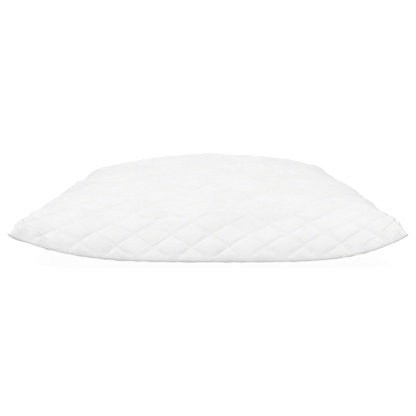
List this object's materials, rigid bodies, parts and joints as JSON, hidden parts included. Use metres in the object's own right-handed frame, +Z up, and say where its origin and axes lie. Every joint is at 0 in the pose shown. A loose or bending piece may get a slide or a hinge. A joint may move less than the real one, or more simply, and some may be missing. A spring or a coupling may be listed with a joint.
{
  "type": "bed pillow",
  "caption": "Flat-lying rectangular bed pillow with pinched corners, a diamond-quilted cover with knife-edge seams and a soft fibre filling.",
  "frame": {"origin": "middle of the pillow's outline, on the surface that the pillow lies on", "axes": "+Z up, +Y along the pillow's long side towards the end with the closing stitch and care label, +X across the pillow"},
  "size_m": [0.48, 0.725, 0.121],
  "materials": {
    "cover_fabric": "white brushed microfibre, plain weave, quilted in 45 mm diamonds with white thread",
    "wadding": "soft white polyester wadding",
    "backing": "thin white non-woven backing",
    "filling": "loose white hollow polyester fibre",
    "seam": "overlocked seam allowance in white cover fabric",
    "thread": "white polyester sewing thread",
    "label": "blank white satin ribbon"
  },
  "bodies": {
    "root": {"top_cover_fabric": "cover_fabric", "top_wadding": "wadding", "top_backing": "backing", "bottom_cover_fabric": "cover_fabric", "bottom_wadding": "wadding", "bottom_backing": "backing", "fibre_fill": "filling", "seam_front": "seam", "seam_back": "seam", "seam_left": "seam", "seam_right": "seam", "closing_stitch": "thread", "care_label": "label"}
  },
  "joints": []
}
